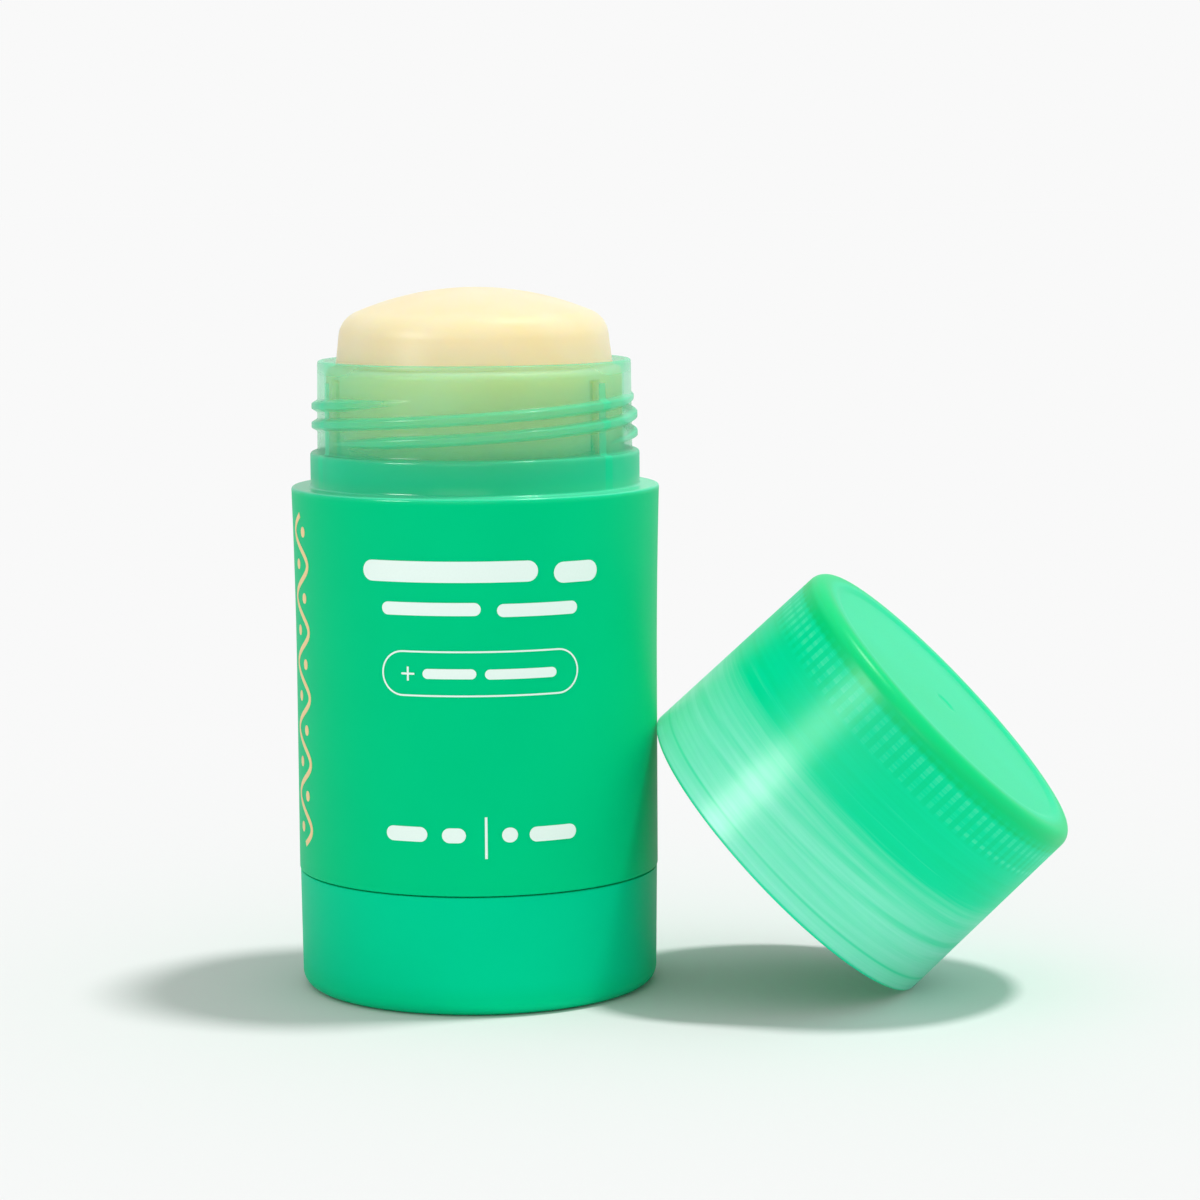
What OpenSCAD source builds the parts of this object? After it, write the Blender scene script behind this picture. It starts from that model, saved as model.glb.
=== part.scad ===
// Twist-up serum stick. A thick-walled barrel stands on a turning base dial.
// The dial carries a lift screw, which raises an elevator and the stick of
// serum that is cast on it. The screw cap is off and leans on the barrel.
// Millimetres. The origin is the centre of the dial's foot on the surface it
// stands on, +Z runs up the barrel's axis and -Y is the front.

/* [Barrel] */
// Height of the barrel's wall from the seam above the dial to the shoulder
body_h = 39.8; // [36:0.1:48]
// Diameter at the shoulder, where the cap's mouth meets the barrel
body_d = 38; // [37.7:0.1:40]
// Diameter along the straight lower stretch of the barrel
waist_d = 37.4; // [36.8:0.1:37.6]
// Length of the shoulder's flare above the straight stretch
flare_h = 20; // [8:1:28]
// Diameter of the bore that the serum slides in
bore_d = 30.9; // [30:0.1:31.2]
// Diameter of the smooth collar that the cap's mouth slips over
collar_d = 34; // [33.6:0.1:34.4]
// Height of the collar
collar_h = 3.55; // [2.5:0.05:4.5]
// Outer diameter of the neck under its thread
neck_d = 32.5; // [32.3:0.1:33]
// Height of the neck from the collar to the rim
neck_h = 9.35; // [9:0.05:11]
// Draft of the neck's radius from its foot to the rim
neck_draft = 0.1; // [0:0.05:0.2]
// Size of the small rounded edges on the mouldings
edge_r = 0.3; // [0.1:0.05:0.4]

/* [Guide ribs] */
// Number of ribs in the bore that stop the elevator turning
rib_count = 3; // [2:1:6]
// Width of one rib
rib_w = 1.3; // [0.8:0.1:2]
// Height of a rib above the bore
rib_depth = 0.45; // [0.3:0.05:0.8]
// Angle of the first rib, from +X towards +Y
rib_angle = -37.5; // [-180:0.5:180]
// Distance of the ribs' upper ends below the rim
rib_drop = 2; // [1:0.5:5]

/* [Neck thread] */
// Number of thread ridges round the neck
neck_starts = 3; // [1:1:4]
// Axial distance from one ridge to the next
neck_pitch = 1.95; // [1.8:0.05:2.3]
// Height of a ridge above the neck
neck_ridge_h = 0.6; // [0.4:0.05:0.7]
// Width of a ridge at its root
neck_root_w = 1.4; // [1.1:0.05:1.5]
// Width of a ridge at its crest
neck_crest_w = 0.45; // [0.3:0.05:0.6]
// Angle that each ridge spans round the neck
neck_span = 281; // [180:1:300]
// Angle of the first ridge's lower end, from +X towards +Y
neck_angle = -33; // [-180:1:180]
// Height of the ridges' lower ends above the collar
neck_start_h = 1.2; // [0.9:0.05:1.4]

/* [Base dial] */
// Height of the seam between the dial and the barrel
seam_z = 12.3; // [11:0.1:15]
// Diameter of the dial at the seam
dial_d = 37.25; // [36.4:0.05:37.5]
// Draft of the dial's radius from its foot to the seam
dial_draft = 0.12; // [0:0.02:0.3]
// Width of the groove at the seam
seam_w = 0.3; // [0.2:0.05:0.6]
// Radius of the fillet round the dial's foot
foot_fillet = 1.6; // [1:0.1:2.4]
// Wall of the dial
dial_wall = 1.8; // [1.4:0.1:2.2]
// Depth of the recess under the dial's floor
foot_recess = 0.8; // [0.4:0.1:1.4]
// Width of the foot ring round that recess
foot_ring_w = 2.4; // [1.6:0.1:3.2]
// Thickness of the dial's floor
dial_floor = 2; // [1.5:0.1:3]
// Height of the spigot that snaps up into the barrel's bore
spigot_h = 3.9; // [3:0.1:4.5]
// Wall of the spigot
spigot_wall = 1.2; // [0.9:0.1:1.6]
// Height of the snap bead above the spigot
bead_h = 0.35; // [0.2:0.05:0.5]
// Diameter of the hub that holds the lift screw's plug
hub_d = 11; // [9.4:0.2:13]
// Height of that hub above the dial's floor
hub_h = 5.2; // [4:0.1:6]

/* [Lift screw] */
// Diameter over the lift screw's thread
screw_d = 8.4; // [7.6:0.1:9]
// Depth of the lift screw's thread
screw_depth = 1; // [0.7:0.05:1.2]
// Number of starts on the lift screw
screw_starts = 2; // [1:1:2]
// Rise of the elevator for one turn of the dial
screw_lead = 6; // [5:0.5:8]
// Distance of the lift screw's tip below the barrel's rim
screw_drop = 7; // [5:0.5:10]
// Length of the plug under the lift screw's flange
plug_h = 4.5; // [3:0.1:5]
// Thickness of the lift screw's flange
flange_h = 1.2; // [0.8:0.1:2]

/* [Elevator] */
// Length of the elevator's nut below its disc
nut_h = 7.7; // [6:0.1:9]
// Wall of the nut outside its thread
nut_wall = 1.5; // [1.2:0.1:2]
// Thickness of the elevator's disc
disc_h = 1.2; // [1:0.1:2]
// Height of the rim that holds the serum's foot, above the disc
cup_h = 4.6; // [3:0.1:6]
// Wall of that rim
cup_wall = 0.8; // [0.6:0.1:1.2]
// Number of webs between the nut and the rim
web_count = 6; // [3:1:9]
// Thickness of a web
web_w = 1; // [0.8:0.1:1.4]
// Height of the webs above the disc
web_h = 2.6; // [1.5:0.1:3]

/* [Serum stick] */
// Diameter of the serum's domed head at the rim
head_d = 28.6; // [26:0.1:29]
// Draft of the head's radius up to its rounded edge
head_draft = 0.4; // [0:0.05:0.6]
// Height of the dome's top above the barrel's rim
head_h = 7.4; // [6:0.1:8.2]
// Radius of the dome
dome_r = 31; // [28:1:60]
// Radius of the head's rounded edge
head_edge_r = 2.9; // [1.5:0.1:3.2]
// Distance of the shoulder round the head below the rim
ledge_drop = 0.7; // [0.3:0.1:2]

/* [Cap] */
// Length of the cap from its mouth to its closed end
cap_h = 23.3; // [22.9:0.1:28]
// Diameter of the cap at its mouth
cap_mouth_d = 38.3; // [38:0.1:39]
// Diameter of the cap at its closed end
cap_top_d = 37.4; // [37:0.1:38]
// Radius of the fillet round the closed end
cap_fillet = 1.5; // [0.8:0.1:2]
// Thickness of the closed end
cap_top_h = 1.7; // [1.3:0.1:2]
// Depth of the shallow dish in the closed end
cap_dish = 0.25; // [0.1:0.05:0.4]
// Depth of the relief just inside the mouth
mouth_h = 2; // [1.2:0.1:2.6]
// Radial depth of that relief
mouth_relief = 0.75; // [0.4:0.05:0.9]
// Height of a thread ridge inside the cap
cap_ridge_h = 0.55; // [0.4:0.05:0.6]
// Width of a cap ridge at its root
cap_root_w = 1; // [0.7:0.05:1.2]
// Width of a cap ridge at its crest
cap_crest_w = 0.4; // [0.3:0.05:0.5]
// Angle that each ridge spans inside the cap
cap_span = 230; // [180:1:240]
// Number of fine splines inside the cap's closed end
spline_count = 90; // [30:6:120]
// Depth of the splines
spline_depth = 0.2; // [0.1:0.05:0.3]
// Length of the splines
spline_h = 4.3; // [3:0.1:6]

/* [Cap's place] */
// Angle of the cap's axis above the surface it rests on
cap_tilt = 44.1; // [35:0.1:55]
// Direction of the cap's axis, from +X towards +Y
cap_azimuth = -12.4; // [-90:0.1:90]
// Direction of the cap's mouth from the barrel's axis
cap_bearing = -5.7; // [-90:0.1:90]
// Clearance between the cap's mouth and the barrel it leans on
lean_gap = 0.1; // [0.05:0.05:0.3]

/* [Clearances] */
// Radial clearance between pieces that slide or turn
run_gap = 0.2; // [0.15:0.05:0.3]
// Radial clearance between pieces that are fixed together
seat_gap = 0.05; // [0.02:0.01:0.1]
// Radial clearance between the lift screw and the nut
screw_gap = 0.3; // [0.25:0.05:0.4]
// Axial clearance on each flank between the lift screw and the nut
flank_gap = 0.25; // [0.15:0.05:0.3]
// Radial clearance between the cap and the collar
collar_gap = 0.08; // [0.05:0.01:0.15]

/* [Hidden] */
$fn = 96;
// How far a united shape is sunk into its carrier
bite = 0.3;
// How far a cutting shape runs past the face that it cuts
past = 1;
// Size of a thread ridge's blunt tip, as a share of its full section
tip_size = 0.2;

// Heights along the barrel's axis
shoulder_z = seam_z + body_h;
collar_z = shoulder_z + collar_h;
rim_z = collar_z + neck_h;
barrel_z = seam_z + seam_w / 2;
dial_top_z = seam_z - seam_w / 2;
floor_z = foot_recess + dial_floor;
spigot_z = dial_top_z + spigot_h;
hub_z = floor_z + hub_h;
thread_z = hub_z + flange_h;
nut_z = thread_z + screw_gap;
disc_z = nut_z + nut_h;
serum_z = disc_z + disc_h;
ledge_z = rim_z - ledge_drop;
screw_z = rim_z - screw_drop;
rib_top_z = rim_z - rib_drop;
bead_z = dial_top_z + spigot_h * 0.7;

// Radii round the barrel's axis
body_r = body_d / 2;
waist_r = waist_d / 2;
bore_r = bore_d / 2;
collar_r = collar_d / 2;
neck_r = neck_d / 2;
dial_r = dial_d / 2;
spigot_r = bore_r - run_gap;
bead_r = spigot_r + bead_h;
screw_r = screw_d / 2;
screw_root_r = screw_r - screw_depth;
socket_r = screw_root_r + seat_gap;
nut_r = screw_r + screw_gap + nut_wall;
slide_r = bore_r - run_gap;
well_r = screw_r + screw_gap;
head_r = head_d / 2;

// Inside the cap
cap_bore_r = collar_r + collar_gap;
cap_floor_z = cap_h - cap_top_h;
cap_lead = neck_starts * neck_pitch;

// Points on an arc about [cx, cy]
function arc(cx, cy, r, from, to, steps) =
    [for (i = [0:steps]) let (a = from + (to - from) * i / steps) [cx + r * cos(a), cy + r * sin(a)]];

// Radius of the barrel's outside at a height: straight, then flared to the shoulder
function barrel_r(z) =
    let (u = max(0, (z - shoulder_z + flare_h) / flare_h))
    waist_r + (body_r - waist_r) * pow(min(u, 1), 2);

// One cross-section of a thread ridge, as [out, along] pairs. It is sunk by
// bite, and out is negative for a ridge that points inwards.
function ridge_section(h, root_w, crest_w, size, way) =
    let (tall = h * size, root = root_w * size / 2, crest = crest_w * size / 2,
         sunk = root + bite * (root - crest) / h)
    [[-way * bite, -sunk], [way * tall * 0.8, -crest * 1.35], [way * tall, -crest * 0.6],
     [way * tall, crest * 0.6], [way * tall * 0.8, crest * 1.35], [-way * bite, sunk]];

// A helical ridge on a wall of radius r, with ends that taper to points. It
// starts at angle 0 and height 0 and climbs by lead for each turn.
module ridge(r, h, root_w, crest_w, lead, span, way, step) {
    taper = 28;
    rings = ceil(span / step);
    rows = [for (i = [0:rings]) let (a = span * i / rings, size = max(tip_size, min(1, a / taper, (span - a) / taper)))
        [for (p = ridge_section(h, root_w, crest_w, size, way))
            [(r + p[0]) * cos(a), (r + p[0]) * sin(a), p[1] + lead * a / 360]]];
    count = len(rows[0]);
    points = [for (row = rows) each row];
    sides = [for (i = [0:rings - 1], j = [0:count - 1]) let (k = (j + 1) % count)
        each [[i * count + j, (i + 1) * count + k, i * count + k],
              [i * count + j, (i + 1) * count + j, (i + 1) * count + k]]];
    first = [for (j = [0:count - 1]) j];
    last = [for (j = [count - 1:-1:0]) rings * count + j];
    faces = concat(sides, [first], [last]);
    polyhedron(points, way < 0 ? faces : [for (f = faces) [for (j = [len(f) - 1:-1:0]) f[j]]], convexity = 6);
}

// Ridges of a thread with several starts
module thread(starts, r, h, root_w, crest_w, lead, span, way, step) {
    for (i = [0:starts - 1]) rotate(360 * i / starts)
        ridge(r, h, root_w, crest_w, lead, span, way, step);
}

// The bar-shaped outline of one guide rib, or of the groove that clears it
module rib_outline(gap) {
    w = rib_w / 2 + gap;
    polygon([[bore_r - rib_depth - gap, -w * 0.7], [bore_r - rib_depth - gap, w * 0.7],
             [bore_r + bite, w], [bore_r + bite, -w]]);
}

// All guide ribs between two heights, or their grooves
module ribs(from, to, gap) {
    for (i = [0:rib_count - 1]) rotate(rib_angle + 360 * i / rib_count)
        translate([0, 0, from]) linear_extrude(to - from) rib_outline(gap);
}

// The barrel's moulding: body, shoulder, collar and threaded neck in one
module barrel() {
    flare = [for (i = [0:8]) let (z = shoulder_z - flare_h + (flare_h - edge_r) * i / 8) [barrel_r(z), z]];
    outside = concat(
        [[bore_r, barrel_z], [waist_r - edge_r, barrel_z]],
        arc(waist_r - edge_r, barrel_z + edge_r, edge_r, -90, 0, 3),
        flare,
        arc(body_r - edge_r, shoulder_z - edge_r, edge_r, 0, 90, 3),
        [[collar_r, shoulder_z]],
        arc(collar_r - edge_r, collar_z - edge_r, edge_r, 0, 90, 3),
        [[neck_r, collar_z]],
        arc(neck_r - neck_draft - edge_r, rim_z - edge_r, edge_r, 0, 90, 3),
        arc(bore_r + edge_r / 2, rim_z - edge_r / 2, edge_r / 2, 90, 180, 2),
        [[bore_r, bead_z + bead_h * 2], [bore_r + bead_h + run_gap, bead_z + bead_h],
         [bore_r + bead_h + run_gap, bead_z - bead_h], [bore_r, bead_z - bead_h * 2]]);
    color([0, 0.79, 0.54]) {
        rotate_extrude() polygon(outside);
        ribs(spigot_z + run_gap * 4, rib_top_z, 0);
        translate([0, 0, collar_z + neck_start_h]) rotate(neck_angle)
            thread(neck_starts, neck_r - neck_draft / 2, neck_ridge_h, neck_root_w, neck_crest_w,
                   cap_lead, neck_span, 1, 6);
    }
}

// The turning foot: a cup with a snap spigot at its top and a hub on its floor
module base_dial() {
    foot_r = dial_r - dial_draft;
    inner_r = spigot_r - spigot_wall;
    cup_r = dial_r - dial_draft - dial_wall;
    step_z = dial_top_z - dial_wall;
    outline = concat(
        [[0, foot_recess], [foot_r - foot_fillet - foot_ring_w, foot_recess],
         [foot_r - foot_fillet - foot_ring_w + foot_recess / 2, 0]],
        arc(foot_r - foot_fillet, foot_fillet, foot_fillet, -90, 0, 6),
        arc(dial_r - edge_r, dial_top_z - edge_r, edge_r, 0, 90, 3),
        [[spigot_r, dial_top_z], [spigot_r, bead_z - bead_h * 1.6], [bead_r, bead_z - bead_h * 0.4],
         [bead_r, bead_z + bead_h * 0.4], [spigot_r, bead_z + bead_h * 1.6],
         [spigot_r, spigot_z - edge_r], [spigot_r - edge_r, spigot_z], [inner_r, spigot_z],
         [inner_r, step_z], [cup_r, step_z - (cup_r - inner_r)], [cup_r, floor_z + edge_r],
         [cup_r - edge_r, floor_z], [0, floor_z]]);
    color([0, 0.79, 0.56]) {
        rotate_extrude() polygon(outline);
        difference() {
            translate([0, 0, floor_z - bite]) cylinder(r = hub_d / 2, h = hub_h + bite);
            translate([0, 0, hub_z - plug_h - seat_gap]) cylinder(r = socket_r, h = plug_h + past);
        }
    }
}

// Cross-section of the lift screw, or of the nut's hole with the gap added.
// Each start is a tooth with a flat crest and two flanks.
function screw_section(gap, widen, steps) =
    let (turn = 360 / screw_starts,
         crest = turn * 5 / 36 + widen,
         root = turn * 11 / 36 + widen,
         tooth = concat([[-root, screw_root_r]],
                        [for (i = [0:steps]) [-crest + 2 * crest * i / steps, screw_r]],
                        [[root, screw_root_r], [turn / 2, screw_root_r]]))
    [for (i = [0:screw_starts - 1], p = tooth)
        (p[1] + gap) * [cos(p[0] + i * turn), sin(p[0] + i * turn)]];

// A length of the lift screw's thread, or of the hole that it turns in
module screw_thread(from, to, gap, widen) {
    turns = (to - from) / screw_lead;
    section = screw_section(gap, widen, widen > 0 ? 4 : 2);
    translate([0, 0, from]) rotate(360 * (from - thread_z) / screw_lead)
        linear_extrude(to - from, twist = -360 * turns, slices = ceil(turns * 15), segments = len(section),
                       convexity = 8)
            polygon(section);
}

// The screw that the dial turns, with a flange and a plug at its foot
module lift_screw() {
    tip_h = 2;
    tip_r = screw_root_r - edge_r * 2;
    color([0, 0.72, 0.5]) {
        screw_thread(thread_z - bite, screw_z - tip_h, 0, 0);
        translate([0, 0, screw_z - tip_h - bite]) cylinder(r = tip_r, h = tip_h + bite - edge_r);
        translate([0, 0, screw_z - edge_r]) cylinder(r1 = tip_r, r2 = tip_r - edge_r, h = edge_r);
        translate([0, 0, hub_z]) cylinder(r = hub_d / 2 - edge_r, h = flange_h);
        translate([0, 0, hub_z - plug_h]) cylinder(r = screw_root_r, h = plug_h + bite);
    }
}

// The webs that stiffen the elevator's cup, or the slots that they fill
module webs(gap) {
    reach = slide_r - cup_wall / 2;
    for (i = [0:web_count - 1]) rotate(rib_angle + 360 * (i + 0.5) / web_count)
        translate([nut_r - bite, -web_w / 2 - gap, serum_z - bite])
            cube([reach - nut_r + bite, web_w + 2 * gap, web_h + bite + gap]);
}

// The nut, disc and cup that carry the serum up the bore
module elevator() {
    widen = 360 * flank_gap / screw_lead;
    color([0.93, 0.95, 0.92]) difference() {
        union() {
            rotate_extrude() polygon([
                [0, nut_z], [nut_r, nut_z], [nut_r, disc_z], [slide_r - edge_r, disc_z], [slide_r, disc_z + edge_r],
                [slide_r, serum_z + cup_h - edge_r], [slide_r - edge_r, serum_z + cup_h],
                [slide_r - cup_wall, serum_z + cup_h], [slide_r - cup_wall, serum_z],
                [nut_r, serum_z], [nut_r, serum_z + web_h], [0, serum_z + web_h]]);
            webs(0);
        }
        screw_thread(nut_z - past, serum_z + web_h + past, screw_gap, widen);
        ribs(disc_z - past, serum_z + cup_h + past, run_gap);
    }
}

// The stick of serum, cast on the elevator round the lift screw
module serum_stick() {
    foot_r = slide_r - cup_wall - seat_gap;
    cup_z = serum_z + cup_h + seat_gap;
    edge_x = head_r - head_draft - head_edge_r;
    dome_z = rim_z + head_h - dome_r;
    edge_z = dome_z + sqrt(pow(dome_r - head_edge_r, 2) - pow(edge_x, 2));
    lean = asin(edge_x / (dome_r - head_edge_r));
    outline = concat(
        [[0, serum_z], [foot_r, serum_z], [foot_r, cup_z], [slide_r, cup_z]],
        arc(slide_r - edge_r, ledge_z - edge_r, edge_r, 0, 90, 3),
        [[head_r + edge_r, ledge_z], [head_r, ledge_z + edge_r]],
        arc(edge_x, edge_z, head_edge_r, 0, 90 - lean, 8),
        arc(0, dome_z, dome_r, 90 - lean + lean / 8, 90, 7));
    color([0.96, 0.9, 0.66]) difference() {
        rotate_extrude() polygon(outline);
        translate([0, 0, serum_z - past]) cylinder(r = well_r, h = screw_z + run_gap * 2 - serum_z + past);
        translate([0, 0, serum_z - past]) cylinder(r = nut_r + seat_gap, h = web_h + seat_gap + past);
        webs(seat_gap);
        ribs(cup_z - past, rib_top_z + run_gap, run_gap);
    }
}

// The toothed outline of the splined stretch inside the cap. The grooves
// between the splines are a little shallower than the bore.
module spline_outline() {
    turn = 360 / spline_count;
    polygon([for (i = [0:spline_count - 1], p = [[0, 0.3], [0.5, 0.3], [0.65, 1], [0.85, 1]])
        let (r = cap_bore_r - p[1] * spline_depth, a = (i + p[0]) * turn) [r * cos(a), r * sin(a)]]);
}

// The cap in its own frame, with its mouth at the origin and +Z to its closed end
module cap_shell() {
    mouth_r = cap_mouth_d / 2;
    top_r = cap_top_d / 2;
    dish_r = top_r - cap_fillet - 1;
    outline = concat(
        [[cap_bore_r + mouth_relief, 0]],
        arc(mouth_r - edge_r, edge_r, edge_r, -90, 0, 3),
        arc(top_r - cap_fillet, cap_h - cap_fillet, cap_fillet, 0, 90, 6),
        [[dish_r, cap_h], [dish_r - 1, cap_h - cap_dish], [0, cap_h - cap_dish], [0, cap_floor_z],
         [cap_bore_r - edge_r * 2, cap_floor_z], [cap_bore_r, cap_floor_z - edge_r * 2],
         [cap_bore_r, mouth_h], [cap_bore_r + mouth_relief, mouth_h - edge_r]]);
    rotate_extrude() polygon(outline);
    difference() {
        translate([0, 0, cap_floor_z - spline_h]) cylinder(r = cap_bore_r + bite, h = spline_h);
        translate([0, 0, cap_floor_z - spline_h - past]) linear_extrude(spline_h + 2 * past) spline_outline();
    }
    translate([0, 0, collar_h + neck_start_h]) rotate(neck_angle)
        thread(neck_starts, cap_bore_r, cap_ridge_h, cap_root_w, cap_crest_w, cap_lead, cap_span, -1, 8);
}

// How far the centre of the cap's mouth lies from the barrel's axis, so that
// its rounded rim comes to lean_gap from the barrel at the nearest point.
function lean_reach() =
    let (rim_r = cap_mouth_d / 2 - edge_r,
         axis = [cos(cap_tilt) * cos(cap_azimuth), cos(cap_tilt) * sin(cap_azimuth), sin(cap_tilt)],
         side = [-sin(cap_azimuth), cos(cap_azimuth), 0],
         rise = [-sin(cap_tilt) * cos(cap_azimuth), -sin(cap_tilt) * sin(cap_azimuth), cos(cap_tilt)],
         way = [cos(cap_bearing), sin(cap_bearing), 0])
    max([for (t = [0:2:180])
        let (p = edge_r * axis + rim_r * (cos(t) * side + sin(t) * rise),
             along = p * way,
             across = p[0] * way[1] - p[1] * way[0],
             wall = barrel_r(cap_mouth_z() + p[2]) + lean_gap + edge_r)
        sqrt(max(0, wall * wall - across * across)) - along]);

// Height of the centre of the cap's mouth when its rim rests on the surface
function cap_mouth_z() =
    (cap_mouth_d / 2 - edge_r) * cos(cap_tilt) + edge_r * (1 - sin(cap_tilt));

// The cap where it lies: its rim on the surface, leaning on the barrel
module cap() {
    reach = lean_reach();
    color([0, 0.85, 0.56])
        translate([reach * cos(cap_bearing), reach * sin(cap_bearing), cap_mouth_z()])
            rotate([0, 90 - cap_tilt, cap_azimuth]) cap_shell();
}

barrel();
base_dial();
lift_screw();
elevator();
serum_stick();
cap();
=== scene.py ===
"""Dresses a twist-up serum stick, its base dial and its leaning screw cap.

Each sub-assembly is a class that holds its sizes in millimetres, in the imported
model's frame. The camera, the floor and the lights follow the photograph.
"""

import logging
import math
from dataclasses import dataclass
from enum import Enum
from typing import Any, Callable, Optional

import bpy
import numpy as np
from mathutils import Matrix, Vector

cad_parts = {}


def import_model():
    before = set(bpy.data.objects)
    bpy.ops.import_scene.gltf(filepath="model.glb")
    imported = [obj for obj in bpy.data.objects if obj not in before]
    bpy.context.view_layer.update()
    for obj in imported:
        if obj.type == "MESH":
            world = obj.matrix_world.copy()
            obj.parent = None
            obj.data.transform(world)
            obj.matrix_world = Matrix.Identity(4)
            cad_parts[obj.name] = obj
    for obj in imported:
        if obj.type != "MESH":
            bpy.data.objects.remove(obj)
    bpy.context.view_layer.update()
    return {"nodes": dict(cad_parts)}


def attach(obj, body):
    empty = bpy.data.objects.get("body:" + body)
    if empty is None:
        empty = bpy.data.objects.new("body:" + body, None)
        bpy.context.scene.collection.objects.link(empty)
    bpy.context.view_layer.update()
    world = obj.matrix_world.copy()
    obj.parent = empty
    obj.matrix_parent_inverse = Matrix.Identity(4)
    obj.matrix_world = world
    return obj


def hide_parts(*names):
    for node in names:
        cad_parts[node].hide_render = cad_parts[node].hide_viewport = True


LOG = logging.getLogger("serum_stick")
MM = 0.001
PLASTIC_IOR = 1.49
WAX_IOR = 1.44
# Rows this far in mm from a rounded edge keep the faces beside it flat.
HOLD = 0.2
WIDE_HOLD = 0.3
# A row this far in mm past the end of a guide rib closes it.
PAST_RIB = 0.25
# A row within this of a wall's radius, in mm, belongs to the wall.
NEAR = 0.02

Rows = list[tuple[float, float]]
Marks = list[np.ndarray]
Colour = tuple[float, float, float, float]
Tree = bpy.types.NodeTree
Socket = bpy.types.NodeSocket


@dataclass(frozen=True)
class Spots:
    """Points on a turned surface, as angle in degrees, and radius and height in mm."""

    degrees: np.ndarray
    radius: np.ndarray
    height: np.ndarray


Field = Callable[[Spots], np.ndarray]


def srgb(code: str) -> Colour:
    """Turns a hex sRGB colour into linear values.

    Args:
        code: six hex digits.

    Returns:
        Linear red, green and blue, with an alpha of 1.
    """
    parts = [int(code[i:i + 2], 16) / 255 for i in (0, 2, 4)]
    linear = [p / 12.92 if p <= 0.04045 else ((p + 0.055) / 1.055) ** 2.4 for p in parts]
    return linear[0], linear[1], linear[2], 1.0


def add_node(
    tree: Tree,
    kind: str,
    values: Optional[dict[Any, Any]] = None,
    links: Optional[dict[Any, Socket]] = None,
    **settings: Any,
) -> bpy.types.Node:
    """Adds a node with its settings, socket values and incoming links.

    Args:
        tree: the tree that the node joins.
        kind: the node's type name.
        values: socket values by input name or number.
        links: output sockets by the input name or number that they feed.
        **settings: attributes of the node itself.

    Returns:
        The new node.
    """
    node = tree.nodes.new(kind)
    for name, value in settings.items():
        setattr(node, name, value)
    for key, value in (values or {}).items():
        node.inputs[key].default_value = value
    for key, socket in (links or {}).items():
        tree.links.new(socket, node.inputs[key])
    return node


def compute(tree: Tree, operation: str, *terms: Any, clamp: bool = False) -> Socket:
    """Adds one step of arithmetic.

    Args:
        tree: the tree that the step joins.
        operation: what it does with its terms.
        *terms: numbers or output sockets, in order.
        clamp: whether the result is held between 0 and 1.

    Returns:
        The result.
    """
    values = {i: term for i, term in enumerate(terms) if isinstance(term, float)}
    links = {i: term for i, term in enumerate(terms) if i not in values}
    node = add_node(tree, "ShaderNodeMath", values, links, operation=operation, use_clamp=clamp)
    return node.outputs[0]


def remap(
    tree: Tree,
    value: Socket,
    source: tuple[float, float] = (0.0, 1.0),
    target: tuple[float, float] = (0.0, 1.0),
    eased: bool = False,
) -> Socket:
    """Adds a step that takes one range of values to another, and holds them inside it.

    Args:
        tree: the tree that the step joins.
        value: what is mapped.
        source: where its range starts and ends.
        target: what these two become.
        eased: whether it eases in and out.

    Returns:
        The result.
    """
    names = ("From Min", "From Max", "To Min", "To Max")
    values = dict(zip(names, (*source, *target)))
    shape = "SMOOTHSTEP" if eased else "LINEAR"
    node = add_node(tree, "ShaderNodeMapRange", values, {"Value": value}, interpolation_type=shape)
    return node.outputs["Result"]


def noise(
    tree: Tree, place: Socket, scale: float, detail: float, roughness: float = 0.5,
) -> Socket:
    """Adds a cloudy pattern.

    Args:
        tree: the tree that it joins.
        place: the coordinates that it follows.
        scale: how many of its patches fit in one unit of them.
        detail: how many finer layers it has.
        roughness: how strong the finer layers are.

    Returns:
        The pattern, about 0.5.
    """
    values = {"Scale": scale, "Detail": detail, "Roughness": roughness}
    return add_node(tree, "ShaderNodeTexNoise", values, {"Vector": place}).outputs["Fac"]


def attribute(tree: Tree, name: str, output: str = "Fac") -> Socket:
    """Adds a mesh attribute, as a number or as the named output."""
    return add_node(tree, "ShaderNodeAttribute", attribute_name=name).outputs[output]


def new_material(name: str) -> tuple[bpy.types.Material, Tree]:
    """Makes a material with an empty tree.

    Args:
        name: the material's name.

    Returns:
        The material and its tree.
    """
    material = bpy.data.materials.new(name)
    material.use_nodes = True
    material.node_tree.nodes.clear()
    return material, material.node_tree


def arc(cx: float, cy: float, radius: float, start: float, end: float, steps: int) -> Rows:
    """Points on an arc.

    Args:
        cx: centre's distance from the axis.
        cy: centre's height.
        radius: the arc's radius.
        start: first angle in degrees.
        end: last angle in degrees.
        steps: number of chords.

    Returns:
        The points, as radius and height.
    """
    angles = np.radians(np.linspace(start, end, steps + 1))
    return [(cx + radius * math.cos(a), cy + radius * math.sin(a)) for a in angles]


def smooth(x: np.ndarray) -> np.ndarray:
    """Eases 0 to 1 with flat ends, for values clipped to that range."""
    x = np.clip(x, 0, 1)
    return x * x * (3 - 2 * x)


def link_mesh(name: str, mesh: bpy.types.Mesh, material: bpy.types.Material) -> bpy.types.Object:
    """Puts a finished mesh into the scene under its own name.

    Args:
        name: the piece's name.
        mesh: its mesh, already in place.
        material: its only material.

    Returns:
        The object, at the origin.
    """
    piece = bpy.data.objects.new(name, mesh)
    bpy.context.scene.collection.objects.link(piece)
    mesh.materials.clear()
    mesh.materials.append(material)
    return piece


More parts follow.
